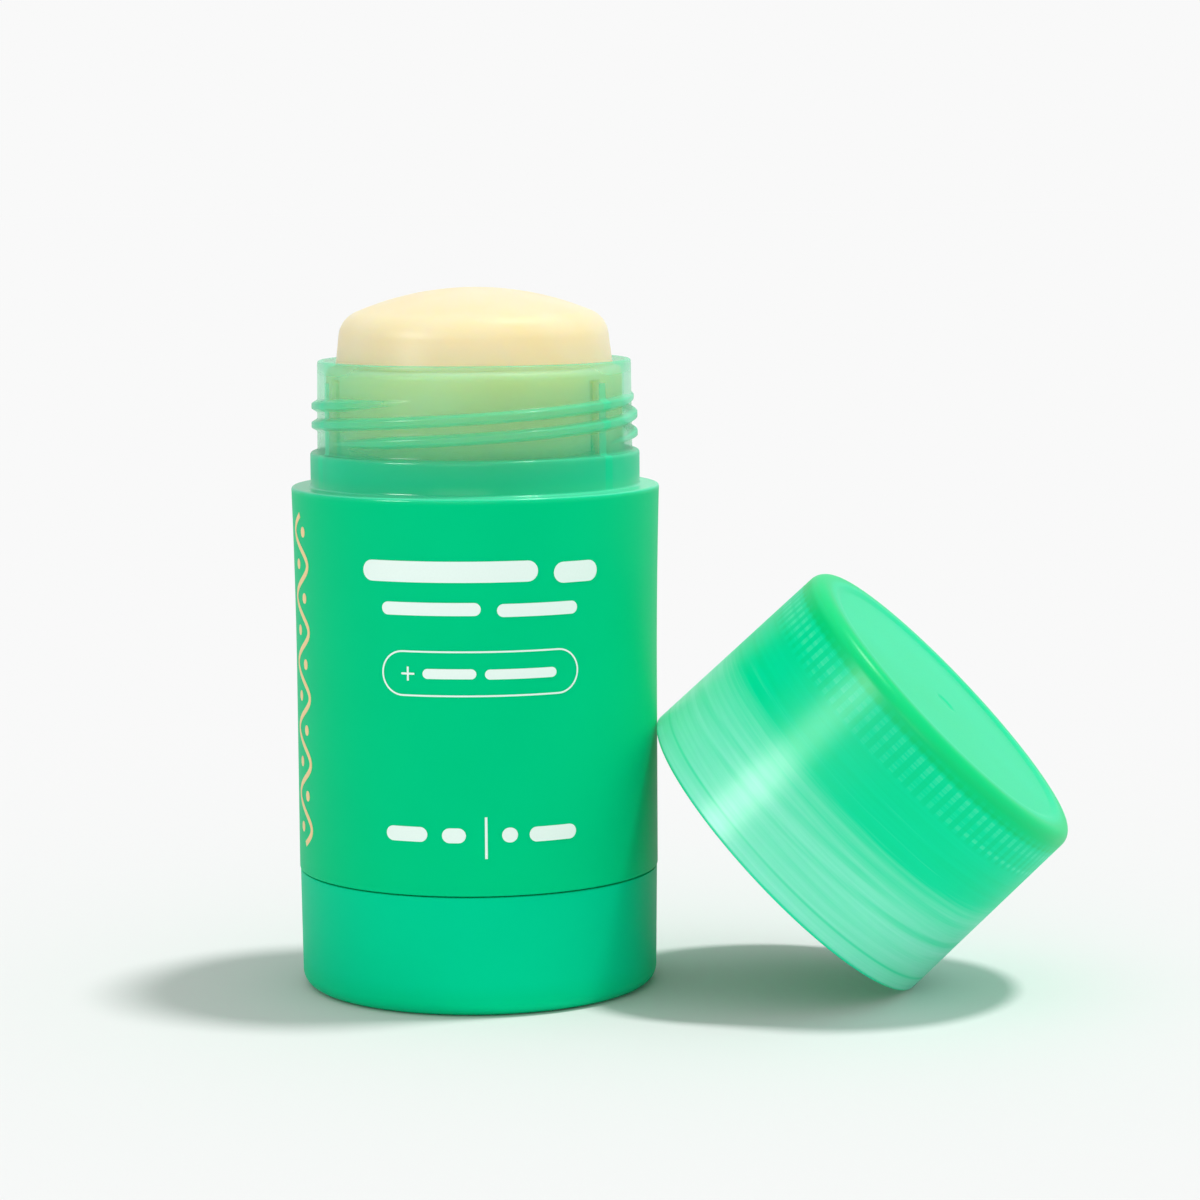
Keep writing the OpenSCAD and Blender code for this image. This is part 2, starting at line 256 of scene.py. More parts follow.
def settle(piece: bpy.types.Object, body: str, slot: str, *nodes: str) -> None:
    """Ties a piece to its body and hides the solids that it stands for.

    Args:
        piece: the piece.
        body: the body that it rides on.
        slot: not used.
        *nodes: the nodes that it replaces, if any.
    """
    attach(piece, body)
    if nodes:
        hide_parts(*nodes)
    LOG.info("%s rides on %s with %d faces", piece.name, body, len(piece.data.polygons))


@dataclass
class Lathe:
    """A profile turned about the axis, with a pattern pushed into its surface."""

    segments: int = 256
    sharp: float = 40.0

    def turn(
        self,
        rows: Rows,
        closed: bool,
        push: Optional[Field] = None,
        fields: Optional[dict[str, Field]] = None,
    ) -> bpy.types.Mesh:
        """Builds the mesh.

        Args:
            rows: the profile, outside upwards, as radius and height in mm. An
                open profile starts and ends on the axis.
            closed: whether the last row joins the first.
            push: radial shift in mm at each point.
            fields: point attributes by name.

        Returns:
            The mesh, in metres, with normals outwards and its own place in mm
            kept as the attribute own.
        """
        ring = rows if closed else rows[1:-1]
        theta = np.linspace(0, 2 * np.pi, self.segments, endpoint=False)[None, :]
        radius = np.array([r for r, _ in ring])[:, None]
        height = np.array([z for _, z in ring])[:, None]
        spots = Spots(np.degrees(theta), radius, height)
        shift = push(spots) if push else np.zeros((len(ring), self.segments))
        reach = radius + shift
        points = np.stack([reach * np.cos(theta), reach * np.sin(theta), height + 0 * theta], -1)
        points = points.reshape(-1, 3)
        starts = np.arange(len(ring) - (not closed)) * self.segments
        low, here = np.meshgrid(starts, np.arange(self.segments), indexing="ij")
        up, along = (low + self.segments) % len(points), (here + 1) % self.segments
        corners = [low + here, low + along, up + along, up + here]
        faces = np.stack(corners, -1).reshape(-1, 4).tolist()
        if not closed:
            first, last = len(points), len(points) + 1
            top = (len(ring) - 1) * self.segments
            points = np.concatenate([points, [[0, 0, rows[0][1]], [0, 0, rows[-1][1]]]])
            for k in range(self.segments):
                after = (k + 1) % self.segments
                faces.append([first, after, k])
                faces.append([last, top + k, top + after])
        mesh = bpy.data.meshes.new("lathe")
        mesh.from_pydata((points * MM).tolist(), [], faces)
        own = mesh.attributes.new("own", "FLOAT_VECTOR", "POINT")
        own.data.foreach_set("vector", points.reshape(-1))
        for name, field in (fields or {}).items():
            values = np.broadcast_to(field(spots), shift.shape).reshape(-1)
            if not closed:
                values = np.append(values, [values[0], values[-1]])
            layer = mesh.attributes.new(name, "FLOAT", "POINT")
            layer.data.foreach_set("value", values.astype(float))
        mesh.shade_smooth()
        mesh.set_sharp_from_angle(angle=math.radians(self.sharp))
        mesh.update()
        return mesh


@dataclass(frozen=True)
class Thread:
    """The ridges of a screw thread, as a height above the wall they stand on.

    Each ridge tapers in height over so many degrees at both its ends, where the
    share tip of its root's width is left.
    """

    starts: int = 3
    lead: float = 5.85
    height: float = 0.6
    root: float = 1.45
    crest: float = 0.45
    span: float = 281.0
    first: float = -33.0
    low_z: float = 56.85
    taper: float = 30.0
    tip: float = 0.3

    def rise(self, at: Spots) -> np.ndarray:
        """Height of the ridges.

        Args:
            at: points on the wall.

        Returns:
            Their height in mm at each angle and height of the wall.
        """
        total = np.zeros(np.broadcast(at.degrees, at.height).shape)
        for k in range(self.starts):
            turn = (at.degrees - self.first - 360 * k / self.starts) % 360
            size = np.clip(np.minimum(turn, self.span - turn) / self.taper, 0, 1)
            centre = self.low_z + self.lead * turn / 360
            half = self.root / 2 * (self.tip + (1 - self.tip) * size)
            flank = (1 - np.abs(at.height - centre) / half) / (1 - self.crest / self.root)
            total = np.maximum(total, self.height * size * smooth(flank))
        return total


@dataclass(frozen=True)
class GuideRibs:
    """The straight ribs in the bore that stop the elevator turning."""

    count: int = 3
    first: float = -37.5
    width: float = 1.3
    depth: float = 0.45
    low_z: float = 17.0
    top_z: float = 63.0
    flank: float = 0.2

    def rise(self, at: Spots, wall_r: float, gap: float = 0.0) -> np.ndarray:
        """Height of the ribs, or depth of the grooves that clear them.

        Args:
            at: points on the wall.
            wall_r: the wall's radius in mm.
            gap: the clearance of the grooves in mm.

        Returns:
            The height in mm at each angle and height of the wall.
        """
        pitch = 360 / self.count
        off = np.abs((at.degrees - self.first + pitch / 2) % pitch - pitch / 2)
        side = (self.width / 2 + gap - np.radians(off) * wall_r) / self.flank
        ends = np.minimum(at.height - self.low_z, self.top_z + gap - at.height) / self.flank
        return (self.depth + gap) * smooth(side) * np.clip(ends, 0, 1)


@dataclass(frozen=True)
class SplinesBehind:
    """Splines on a wall's far side that show through it, by their place in the attribute own."""

    count: int
    low_mm: float
    high_mm: float
    contrast: float = 0.085
    flank: float = 0.35
    fade_mm: float = 0.25

    def deepen(self, tree: Tree, depth: Socket) -> Socket:
        """Deepens the wall over each spline and pales it between them.

        Args:
            tree: the material's tree.
            depth: how deep the wall's colour is, painted light included.

        Returns:
            The depth with the splines in it.
        """
        own = attribute(tree, "own", "Vector")
        part = add_node(tree, "ShaderNodeSeparateXYZ", None, {0: own}).outputs
        turn = compute(tree, "ARCTAN2", part["Y"], part["X"])
        wave = compute(tree, "SINE", compute(tree, "MULTIPLY", turn, float(self.count)))
        flanks, shades = (-self.flank, self.flank), (-self.contrast, self.contrast)
        tooth = remap(tree, wave, flanks, shades, eased=True)
        fade, low, high = self.fade_mm, self.low_mm, self.high_mm
        start = remap(tree, part["Z"], (low - fade, low + fade), eased=True)
        stop = remap(tree, part["Z"], (high + fade, high - fade), eased=True)
        band = compute(tree, "MULTIPLY", start, stop)
        return compute(tree, "MULTIPLY_ADD", tooth, band, depth, clamp=True)


@dataclass(frozen=True)
class MouldedPolypropylene:
    """Injection-moulded translucent polypropylene in a light satin tool finish.

    A thin wall is pale, a middling one is clear green and a thick one is deep.
    The attribute depth says how far the wall's colour is from thin to thick, and
    also carries painted light, pale about the cap's mouth and on the barrel's
    shoulder top; cover says the part of what lies behind it that the wall holds
    back, seen straight on, and polish how strong its polished skin is.
    """

    name: str
    thin: str
    middle: str
    thick: str
    roughness: float = 0.46
    roughness_swing: float = 0.04
    specular: float = 0.055
    reflected: str = "40FFC0"
    polished: bool = False
    skin_roughness: float = 0.16
    passed: str = "F4FFF8"
    longest_path: float = 2.0
    scatter: float = 0.25
    scatter_mm: float = 1.2
    scatter_spread: tuple[float, float, float] = (0.4, 1.0, 0.6)
    uneven: float = 0.03
    uneven_mm: float = 10.0
    streak: float = 0.0
    streaks_per_mm: tuple[float, float, float] = (0.03, 0.03, 1.3)
    grain_mm: float = 0.3
    grain_depth_mm: float = 0.004
    grain_strength: float = 0.4

    def build(
        self, clear: bool = False, behind: Optional[SplinesBehind] = None,
    ) -> bpy.types.Material:
        """Makes the material.

        Args:
            clear: whether the attribute cover lets things show through.
            behind: splines that show through the wall.

        Returns:
            The material.
        """
        material, tree = new_material(self.name)
        place = add_node(tree, "ShaderNodeTexCoord").outputs["Object"]
        # The satin grain of the tool, drawn a little coarse so that it shows.
        grain = noise(tree, place, 1 / (self.grain_mm * MM), 3.0)
        bump = add_node(
            tree, "ShaderNodeBump",
            {"Strength": self.grain_strength, "Distance": self.grain_depth_mm * MM},
            {"Height": grain},
        )
        swing = self.roughness_swing
        rough = remap(tree, grain, target=(self.roughness - swing, self.roughness + swing))
        shader = add_node(
            tree, "ShaderNodeBsdfPrincipled",
            {"IOR": PLASTIC_IOR, "Specular IOR Level": self.specular,
             "Specular Tint": srgb(self.reflected), "Subsurface Weight": self.scatter,
             "Subsurface Radius": self.scatter_spread, "Subsurface Scale": self.scatter_mm * MM,
             "Coat Roughness": self.skin_roughness, "Coat IOR": PLASTIC_IOR},
            {"Base Color": self._colour(tree, place, behind), "Roughness": rough,
             "Normal": bump.outputs["Normal"]},
        )
        if self.polished:
            tree.links.new(attribute(tree, "polish"), shader.inputs["Coat Weight"])
        surface = shader.outputs["BSDF"]
        if clear:
            film = add_node(tree, "ShaderNodeBsdfTransparent", {"Color": srgb(self.passed)})
            mixed = {0: self._held_back(tree), 1: film.outputs[0], 2: surface}
            surface = add_node(tree, "ShaderNodeMixShader", None, mixed).outputs[0]
        add_node(tree, "ShaderNodeOutputMaterial", None, {"Surface": surface})
        return material

    def _colour(self, tree: Tree, place: Socket, behind: Optional[SplinesBehind]) -> Socket:
        """The wall's green by its depth.

        Args:
            tree: the material's tree.
            place: the object's coordinates.
            behind: splines that show through the wall.

        Returns:
            The colour.
        """
        depth = attribute(tree, "depth")
        if behind:
            depth = behind.deepen(tree, depth)
        if self.streak:
            depth = self._streaked(tree, depth)
        ramp = add_node(tree, "ShaderNodeValToRGB", None, {"Fac": depth})
        stops = ramp.color_ramp.elements
        stops[0].color, stops[1].color = srgb(self.thin), srgb(self.thick)
        stops.new(0.5).color = srgb(self.middle)
        # Flow in the mould leaves the green a little uneven over about a centimetre.
        cloud = noise(tree, place, 1 / (self.uneven_mm * MM), 2.0)
        shade = remap(tree, cloud, target=(1 - self.uneven, 1 + self.uneven))
        return add_node(
            tree, "ShaderNodeVectorMath", None, {0: ramp.outputs["Color"], "Scale": shade},
            operation="SCALE",
        ).outputs["Vector"]

    def _held_back(self, tree: Tree) -> Socket:
        """Holds back more where the wall is crossed at a slant, as its path grows longer.

        Args:
            tree: the material's tree.

        Returns:
            The part of what lies behind the wall that it holds back.
        """
        facing = add_node(tree, "ShaderNodeLayerWeight", {"Blend": 0.5}).outputs["Facing"]
        straight = compute(tree, "SUBTRACT", 1.0, facing)
        straight = compute(tree, "MAXIMUM", straight, 1 / self.longest_path)
        path = compute(tree, "DIVIDE", 1.0, straight)
        through = compute(tree, "SUBTRACT", 1.0, attribute(tree, "cover"))
        return compute(tree, "SUBTRACT", 1.0, compute(tree, "POWER", through, path))

    def _streaked(self, tree: Tree, depth: Socket) -> Socket:
        """Adds the fine rings that turning left on the tool, about the axis of the attribute own.

        Args:
            tree: the material's tree.
            depth: how deep the wall's colour is, painted light included.

        Returns:
            The depth with the rings in it.
        """
        drawn = add_node(
            tree, "ShaderNodeVectorMath", {1: self.streaks_per_mm},
            {0: attribute(tree, "own", "Vector")}, operation="MULTIPLY",
        ).outputs["Vector"]
        rings = noise(tree, drawn, 1.0, 3.0, 0.6)
        offset = remap(tree, rings, (0.3, 0.7), (-self.streak, self.streak))
        return compute(tree, "ADD", offset, depth, clamp=True)


@dataclass(frozen=True)
class CastWax:
    """A cream serum of wax and butter, poured warm and set against a smooth former."""

    name: str = "cast_wax"
    colour: str = "EBDFBB"
    warm: str = "E9D6A0"
    warm_share: float = 0.6
    roughness: float = 0.42
    specular: float = 0.24
    scatter_mm: float = 6.0
    scatter_spread: tuple[float, float, float] = (1.0, 0.8, 0.45)
    cloud_mm: float = 9.0
    pit_mm: float = 0.9
    pit_depth_mm: float = 0.03
    pit_strength: float = 0.35

    def build(self) -> bpy.types.Material:
        """Makes the material.

        Returns:
            The material.
        """
        material, tree = new_material(self.name)
        place = add_node(tree, "ShaderNodeTexCoord").outputs["Object"]
        # Slow cooling leaves the cream slightly deeper in soft patches.
        cloud = noise(tree, place, 1 / (self.cloud_mm * MM), 2.0)
        warmth = remap(tree, cloud, (0.35, 0.75), (0.0, self.warm_share))
        mix = add_node(
            tree, "ShaderNodeMix", {6: srgb(self.colour), 7: srgb(self.warm)}, {0: warmth},
            data_type="RGBA",
        )
        # The skin of the wax is very slightly pitted and wavy.
        pits = noise(tree, place, 1 / (self.pit_mm * MM), 4.0, 0.6)
        bump = add_node(
            tree, "ShaderNodeBump",
            {"Strength": self.pit_strength, "Distance": self.pit_depth_mm * MM}, {"Height": pits},
        )
        shader = add_node(
            tree, "ShaderNodeBsdfPrincipled",
            {"Roughness": self.roughness, "IOR": WAX_IOR, "Specular IOR Level": self.specular,
             "Subsurface Weight": 1.0, "Subsurface Radius": self.scatter_spread,
             "Subsurface Scale": self.scatter_mm * MM},
            {"Base Color": mix.outputs[2], "Normal": bump.outputs["Normal"]},
        )
        add_node(tree, "ShaderNodeOutputMaterial", None, {"Surface": shader.outputs["BSDF"]})
        return material


@dataclass(frozen=True)
class ScreenInk:
    """Opaque ink screened on to the barrel, with the fine uneven tone of the screen."""

    name: str
    colour: str
    roughness: float = 0.5
    specular: float = 0.3
    mesh_mm: float = 0.2
    mesh_shade: float = 0.96

    def build(self) -> bpy.types.Material:
        """Makes the material.

        Returns:
            The material.
        """
        material, tree = new_material(self.name)
        place = add_node(tree, "ShaderNodeTexCoord").outputs["Object"]
        weave = noise(tree, place, 1 / (self.mesh_mm * MM), 1.0)
        tone = remap(tree, weave, target=(self.mesh_shade, 1.0))
        base = add_node(
            tree, "ShaderNodeVectorMath", {0: srgb(self.colour)[:3]}, {"Scale": tone},
            operation="SCALE",
        )
        shader = add_node(
            tree, "ShaderNodeBsdfPrincipled",
            {"Roughness": self.roughness, "Specular IOR Level": self.specular},
            {"Base Color": base.outputs["Vector"]},
        )
        add_node(tree, "ShaderNodeOutputMaterial", None, {"Surface": shader.outputs["BSDF"]})
        return material


@dataclass
class Shot:
    """The photograph's camera, from the barrel's rims and edges, in mm and degrees."""

    place: tuple[float, float, float] = (0.0, -367.66, 82.22)
    pan: float = 1.998
    pitch: float = 6.569
    roll: float = -0.357
    lens: float = 106.8
    nearest: float = 10.0
    farthest: float = 20000.0

    def build(self) -> bpy.types.Object:
        """Makes the camera and gives it to the scene.

        Returns:
            The camera.
        """
        pan, pitch, roll = (math.radians(v) for v in (self.pan, self.pitch, self.roll))
        level = math.cos(pitch)
        ahead = Vector((math.sin(pan) * level, math.cos(pan) * level, -math.sin(pitch)))
        right = Vector((math.cos(pan), -math.sin(pan), 0))
        up = right.cross(ahead)
        side = right * math.cos(roll) + up * math.sin(roll)
        top = up * math.cos(roll) - right * math.sin(roll)
        turn = Matrix((side, top, -ahead)).transposed().to_4x4()
        data = bpy.data.cameras.new("camera")
        data.lens = self.lens
        data.clip_start = self.nearest * MM
        data.clip_end = self.farthest * MM
        camera = bpy.data.objects.new("camera", data)
        camera.matrix_world = Matrix.Translation(Vector(self.place) * MM) @ turn
        bpy.context.scene.collection.objects.link(camera)
        bpy.context.scene.camera = camera
        return camera


@dataclass(frozen=True)
class Lamp:
    """A distant soft lamp.

    Its power is in watts per square metre. Its elevation, its azimuth from +X
    towards +Y and how wide it looks are in degrees.
    """

    name: str
    power: float
    elevation: float
    azimuth: float
    spread: float
    lights_floor: bool = True
    only_gloss: bool = False

    def build(self, floor: bpy.types.Object) -> None:
        """Hangs the lamp.

        Args:
            floor: the floor, which it may leave out.
        """
        data = bpy.data.lights.new(self.name, "SUN")
        data.energy = self.power
        data.angle = math.radians(self.spread)
        lamp = bpy.data.objects.new(self.name, data)
        high, turn = math.radians(self.elevation), math.radians(self.azimuth)
        level = math.cos(high)
        away = Vector((level * math.cos(turn), level * math.sin(turn), math.sin(high)))
        lamp.rotation_euler = away.to_track_quat("Z", "Y").to_euler()
        lamp.visible_diffuse = not self.only_gloss
        bpy.context.scene.collection.objects.link(lamp)
        if not self.lights_floor:
            left_out = bpy.data.collections.new(f"{self.name}_leaves_out")
            left_out.objects.link(floor)
            left_out.collection_objects[0].light_linking.link_state = "EXCLUDE"
            lamp.light_linking.receiver_collection = left_out


@dataclass
class Studio:
    """The pale floor, the white surround and the lamps."""

    backdrop: str = "F9F9F9"
    floor: str = "EAEAEA"
    floor_roughness: float = 0.9
    reach: float = 4.0
    sky: float = 0.62
    lamps: tuple[Lamp, ...] = (
        Lamp("key_lamp", 1.76, 71.5, 10.0, 8.0),
        Lamp("front_lamp", 0.95, 6.0, -100.0, 40.0, lights_floor=False),
        # A lit card to the left.
        Lamp("card_lamp", 4.1, 21.0, -145.0, 22.0, lights_floor=False, only_gloss=True),
    )

    def build(self) -> None:
        """Makes the floor, the world and the lamps."""
        floor = self._floor()
        self._world()
        for lamp in self.lamps:
            lamp.build(floor)
        bpy.context.scene.view_settings.view_transform = "Standard"

    def _floor(self) -> bpy.types.Object:
        """A wide flat floor of matt painted board at height zero.

        Returns:
            The floor.
        """
        r = self.reach
        mesh = bpy.data.meshes.new("floor")
        corners = [(-r, -r, 0), (r, -r, 0), (r, r * 3, 0), (-r, r * 3, 0)]
        mesh.from_pydata(corners, [], [(0, 1, 2, 3)])
        material, tree = new_material("painted_board")
        shader = add_node(
            tree, "ShaderNodeBsdfPrincipled",
            {"Base Color": srgb(self.floor), "Roughness": self.floor_roughness,
             "Specular IOR Level": 0.0},
        )
        add_node(tree, "ShaderNodeOutputMaterial", None, {"Surface": shader.outputs["BSDF"]})
        floor = link_mesh("floor", mesh, material)
        return floor

    def _world(self) -> None:
        """A white surround that lights softly and shows as the photograph's pale backdrop."""
        world = bpy.data.worlds.new("surround")
        bpy.context.scene.world = world
        world.use_nodes = True
        tree = world.node_tree
        tree.nodes.clear()
        ray = add_node(tree, "ShaderNodeLightPath").outputs
        seen = compute(tree, "MAXIMUM", ray["Is Camera Ray"], ray["Is Transmission Ray"])
        seen = compute(tree, "MAXIMUM", seen, ray["Is Glossy Ray"])
        white = (1.0, 1.0, 1.0, 1.0)
        light = add_node(tree, "ShaderNodeBackground", {"Color": white, "Strength": self.sky})
        back = add_node(
            tree, "ShaderNodeBackground", {"Color": srgb(self.backdrop), "Strength": 1.0},
        )
        mix = add_node(
            tree, "ShaderNodeMixShader", None, {0: seen, 1: light.outputs[0], 2: back.outputs[0]},
        )
        add_node(tree, "ShaderNodeOutputWorld", None, {"Surface": mix.outputs[0]})


@dataclass
class Barrel:
    """The barrel's one moulding, from the seam to the rim of its threaded neck."""

    seam_z: float = 12.38
    seam_edge: float = 0.12
    shoulder_z: float = 52.1
    collar_z: float = 55.65
    rim_z: float = 65.0
    rim_edge: float = 0.25
    rim_inner_edge: float = 0.2
    body_r: float = 19.0
    waist_r: float = 18.7
    flare: float = 20.0
    collar_r: float = 17.0
    neck_r: float = 16.25
    neck_draft: float = 0.1
    # How far out and up the rows of the fillet at the neck's foot are.
    neck_fillet: tuple[tuple[float, float], ...] = ((0.12, 0.0), (0.03, 0.1))
    bore_r: float = 15.45
    bore_rows: tuple[float, ...] = (58.0, 52.0, 46.0, 34.0, 24.0)
    edge: float = 0.3
    groove_z: float = 14.88
    groove_h: float = 0.35
    groove_depth: float = 0.55
    thread: Thread = Thread()
    ribs: GuideRibs = GuideRibs()
    # Wall in mm that passes about a third of what lies behind it, shoulder to rim.
    clear_mm: tuple[float, ...] = (1.1, 1.7, 2.9, 3.9, 2.7, 2.2)
    # A ridge or a rib bends light away as well, so it counts for more than its height.
    bending: float = 1.8
    thin_mm: float = 0.6
    thick_mm: float = 3.2
    # Polish at the shoulder's edge and the neck, and on the collar.
    gloss: float = 0.46
    collar_gloss: float = 0.13

    def wall_r(self, z: float) -> float:
        """Radius of the body's outside at a height."""
        rise = max(0.0, min(1.0, (z - self.shoulder_z + self.flare) / self.flare))
        return self.waist_r + (self.body_r - self.waist_r) * rise * rise

    def profile(self) -> Rows:
        """The barrel's section, outside upwards and bore downwards.

        Returns:
            Its rows.
        """
        e, low = self.edge, self.seam_edge
        flare_z = self.shoulder_z - self.flare
        body = np.linspace(self.seam_z + 2 * low, flare_z, 6)
        flare = np.linspace(flare_z, self.shoulder_z - 2 * e, 14)[1:]
        neck = np.linspace(self.collar_z + WIDE_HOLD, self.rim_z - WIDE_HOLD, 96)
        rim_r = self.neck_r - self.neck_draft - self.rim_edge
        inner = self.rim_inner_edge
        slope = self.neck_draft / (self.rim_z - self.collar_z)
        top, foot = self.ribs.top_z, self.ribs.low_z
        bore = (self.rim_z - 2 * WIDE_HOLD, top + PAST_RIB, top, top - HOLD, *self.bore_rows,
                foot + HOLD, foot, foot - PAST_RIB)
        groove_r = self.bore_r + self.groove_depth
        return [
            (self.bore_r, self.seam_z), (self.waist_r - low - HOLD, self.seam_z),
            *arc(self.waist_r - low, self.seam_z + low, low, -90, 0, 4),
            *[(self.waist_r, z) for z in body],
            *[(self.wall_r(z), z) for z in flare],
            *arc(self.body_r - e, self.shoulder_z - e, e, 0, 90, 5),
            (self.body_r - e - HOLD, self.shoulder_z), (self.collar_r + e + HOLD, self.shoulder_z),
            *arc(self.collar_r + e, self.shoulder_z + e, e, 270, 180, 4),
            (self.collar_r, self.shoulder_z + 4 * e),
            (self.collar_r, self.collar_z - e - WIDE_HOLD),
            *arc(self.collar_r - e, self.collar_z - e, e, 0, 90, 5),
            *[(self.neck_r + out, self.collar_z + up) for out, up in self.neck_fillet],
            *[(self.neck_r - slope * (z - self.collar_z), z) for z in neck],
            *arc(rim_r, self.rim_z - self.rim_edge, self.rim_edge, 0, 90, 4),
            *arc(self.bore_r + inner, self.rim_z - inner, inner, 90, 180, 4),
            *[(self.bore_r, z) for z in bore],
            (self.bore_r, self.groove_z + 2 * self.groove_h),
            (groove_r, self.groove_z + self.groove_h), (groove_r, self.groove_z - self.groove_h),
            (self.bore_r, self.groove_z - 2 * self.groove_h),
        ]

    def push(self, at: Spots) -> np.ndarray:
        """Ridges outside the neck, and guide ribs inside the bore.

        Args:
            at: points on the barrel.

        Returns:
            The shift outwards in mm.
        """
        outside = (at.radius > self.neck_r - self.neck_draft - NEAR) & (at.height > self.collar_z)
        inside = np.abs(at.radius - self.bore_r) < NEAR
        ridges = np.where(outside, self.thread.rise(at), 0.0)
        return ridges - np.where(inside, self.ribs.rise(at, self.bore_r), 0.0)

    def relief(self, at: Spots) -> np.ndarray:
        """Height in mm of the ridges and the ribs that stand on the wall."""
        ridges = np.where(at.height > self.collar_z, self.thread.rise(at), 0.0)
        return ridges + self.ribs.rise(at, self.bore_r)

    def thickness(self, at: Spots) -> np.ndarray:
        """The wall with the ridges outside it and the ribs inside it.

        Args:
            at: points on the barrel.

        Returns:
            The thickness in mm.
        """
        outside = np.interp(
            at.height,
            [self.shoulder_z - 0.5, self.shoulder_z + 0.05, self.collar_z - 0.3,
             self.collar_z + 0.1, self.rim_z],
            [self.body_r, self.collar_r, self.collar_r, self.neck_r, self.neck_r - self.neck_draft],
        )
        return outside - self.bore_r + self.relief(at)

    def cover(self, at: Spots) -> np.ndarray:
        """What the wall's outside holds back. The bore holds back nothing more.

        Args:
            at: points on the barrel.

        Returns:
            The part that is held back, seen straight on.
        """
        foot, top = self.collar_z + 0.3, self.rim_z - 1.8
        marks = [self.shoulder_z, self.collar_z, foot, top, top + 0.7, self.rim_z]
        clear_mm = np.interp(at.height, marks, self.clear_mm)
        held = 1 - np.exp(-(self.thickness(at) + self.bending * self.relief(at)) / clear_mm)
        held = np.where(at.height < self.shoulder_z - HOLD, 1.0, held)
        inside = (at.radius < self.bore_r + 0.1) & (at.height > self.shoulder_z)
        return np.where(inside, 0.0, held)

    def depth(self, at: Spots) -> np.ndarray:
        """How deep the wall's colour is, with a painted reflection that pales the shoulder's top
        where it turns inwards.

        Args:
            at: points on the barrel.

        Returns:
            How far the wall's colour is from thin to thick.
        """
        deep = np.clip((self.thickness(at) - self.thin_mm) / (self.thick_mm - self.thin_mm), 0, 1)
        # Painted reflection: the shoulder's top face takes the pale colour for the backdrop's sheen
        # on it, whatever the wall's thickness.
        painted_sheen_on_top = at.radius > self.collar_r + 0.05
        return deep * (1 - smooth((at.height - self.shoulder_z + HOLD) / 0.15) * painted_sheen_on_top)

    def polish(self, at: Spots) -> np.ndarray:
        """Polished from the shoulder's edge up, less on the collar, and satin below the edge.

        Args:
            at: points on the barrel.

        Returns:
            How strong the polished skin is.
        """
        edge, collar = self.shoulder_z, self.collar_z
        return np.interp(
            at.height,
            [edge - 0.45, edge - 0.1, edge + 0.3, edge + 0.9, collar - 0.5, collar - 0.2],
            [0.0, self.gloss, self.gloss, self.collar_gloss, self.collar_gloss, self.gloss],
        )

    def build(self, finish: MouldedPolypropylene) -> None:
        """Makes the shell that stands for the barrel.

        Args:
            finish: how it looks.
        """
        fields = {"cover": self.cover, "depth": self.depth, "polish": self.polish}
        mesh = Lathe(segments=360).turn(self.profile(), True, self.push, fields)
        shell = link_mesh("barrel_shell", mesh, finish.build(clear=True))
        settle(shell, "barrel", "barrel_plastic", "barrel")


